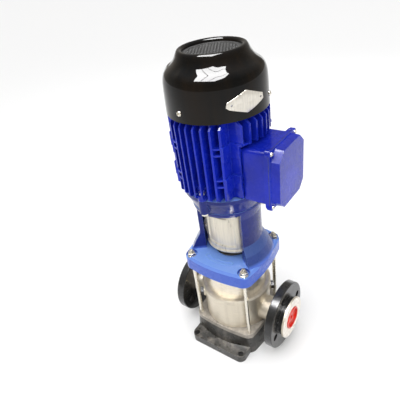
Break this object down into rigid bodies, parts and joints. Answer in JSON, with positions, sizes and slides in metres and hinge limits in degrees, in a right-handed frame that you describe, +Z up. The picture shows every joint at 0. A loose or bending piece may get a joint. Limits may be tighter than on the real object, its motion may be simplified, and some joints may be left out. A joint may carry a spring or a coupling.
{
  "type": "vertical multistage pump",
  "caption": "Vertical multistage in-line pump: cast foot, flanged ports, stainless sleeve, motor stool and finned motor with terminal box and fan cowl.",
  "frame": {"origin": "centre of the foot's underside, on the shaft axis", "axes": "+Z up the shaft; X along the two ports, with the discharge port and terminal box at +X; Y along the long side of the foot"},
  "size_m": [0.306, 0.238, 0.717],
  "materials": {
    "cast_black": "dark painted casting with rough skin",
    "steel_satin": "satin stainless sheet",
    "steel_bright": "bright turned stainless",
    "flange_black": "semi gloss black",
    "flange_grey": "bare grey casting",
    "stool_blue": "gloss blue enamel",
    "motor_blue": "deep blue gloss enamel",
    "cowl_black": "high gloss black",
    "guard_steel": "bright pressed sheet",
    "zinc": "zinc plated",
    "plug_red": "red moulded cap",
    "black_plastic": "moulded black",
    "shaft_steel": "ground steel",
    "core_steel": "stacked laminations",
    "copper": "varnished winding",
    "carbon": "polished carbon",
    "bronze": "plain bush",
    "rotor_alloy": "cast alloy"
  },
  "bodies": {
    "pump": {"bearing_outer_races": "shaft_steel", "cable_gland": "black_plastic", "casing_flange": "flange_grey", "casing_plugs": "black_plastic", "clamp_ring": "steel_satin", "cowl_grille": "black_plastic", "cowl_screws": "zinc", "diffusers": "steel_satin", "fan_cowl": "cowl_black", "foot": "cast_black", "front_guard": "guard_steel", "gland_nut": "black_plastic", "guard_screws": "zinc", "head_cover": "steel_satin", "inlet_bowl": "steel_satin", "lid_gasket": "carbon", "lid_screws": "zinc", "lower_shield": "stool_blue", "motor_frame": "motor_blue", "motor_stool": "stool_blue", "outer_sleeve": "steel_bright", "pump_casing": "steel_satin", "rating_plate": "rotor_alloy", "rear_guard": "guard_steel", "seal_seat": "carbon", "shaft_bush": "bronze", "shield_bolt_nuts": "zinc", "shield_bolts": "zinc", "stage_casings": "steel_satin", "stator_core": "core_steel", "stool_screws": "zinc", "terminal_block": "black_plastic", "terminal_box": "motor_blue", "terminal_lid": "motor_blue", "tie_rod_nuts": "zinc", "tie_rod_washers": "zinc", "tie_rods": "zinc", "upper_shield": "motor_blue", "windings": "copper"},
    "rotor": {"bearing_inner_races": "shaft_steel", "coupling_halves": "core_steel", "coupling_pin": "shaft_steel", "coupling_screws": "zinc", "fan": "black_plastic", "impellers": "steel_satin", "motor_shaft": "shaft_steel", "pump_shaft": "shaft_steel", "rotor_core": "rotor_alloy", "seal_ring": "carbon", "shaft_key": "shaft_steel", "shaft_nut": "steel_bright", "shaft_spacers": "steel_bright"},
    "discharge_flange": {"discharge_flange": "flange_black"},
    "discharge_plug": {"discharge_plug": "plug_red"},
    "suction_flange": {"suction_flange": "flange_black"},
    "suction_plug": {"suction_plug": "plug_red"}
  },
  "joints": [
    {"name": "shaft_spin", "type": "hinge", "parent": "pump", "child": "rotor", "pos_m": [0, 0, 0.3], "axis": [0, 0, 1], "continuous": true},
    {"name": "suction_flange_turn", "type": "hinge", "parent": "pump", "child": "suction_flange", "pos_m": [-0.13, 0, 0.09], "axis": [-1, 0, 0], "continuous": true},
    {"name": "discharge_flange_turn", "type": "hinge", "parent": "pump", "child": "discharge_flange", "pos_m": [0.13, 0, 0.09], "axis": [1, 0, 0], "continuous": true},
    {"name": "suction_plug_pull", "type": "slide", "parent": "pump", "child": "suction_plug", "axis": [-1, 0, 0], "range_m": [0, 0.04]},
    {"name": "discharge_plug_pull", "type": "slide", "parent": "pump", "child": "discharge_plug", "axis": [1, 0, 0], "range_m": [0, 0.04]}
  ]
}
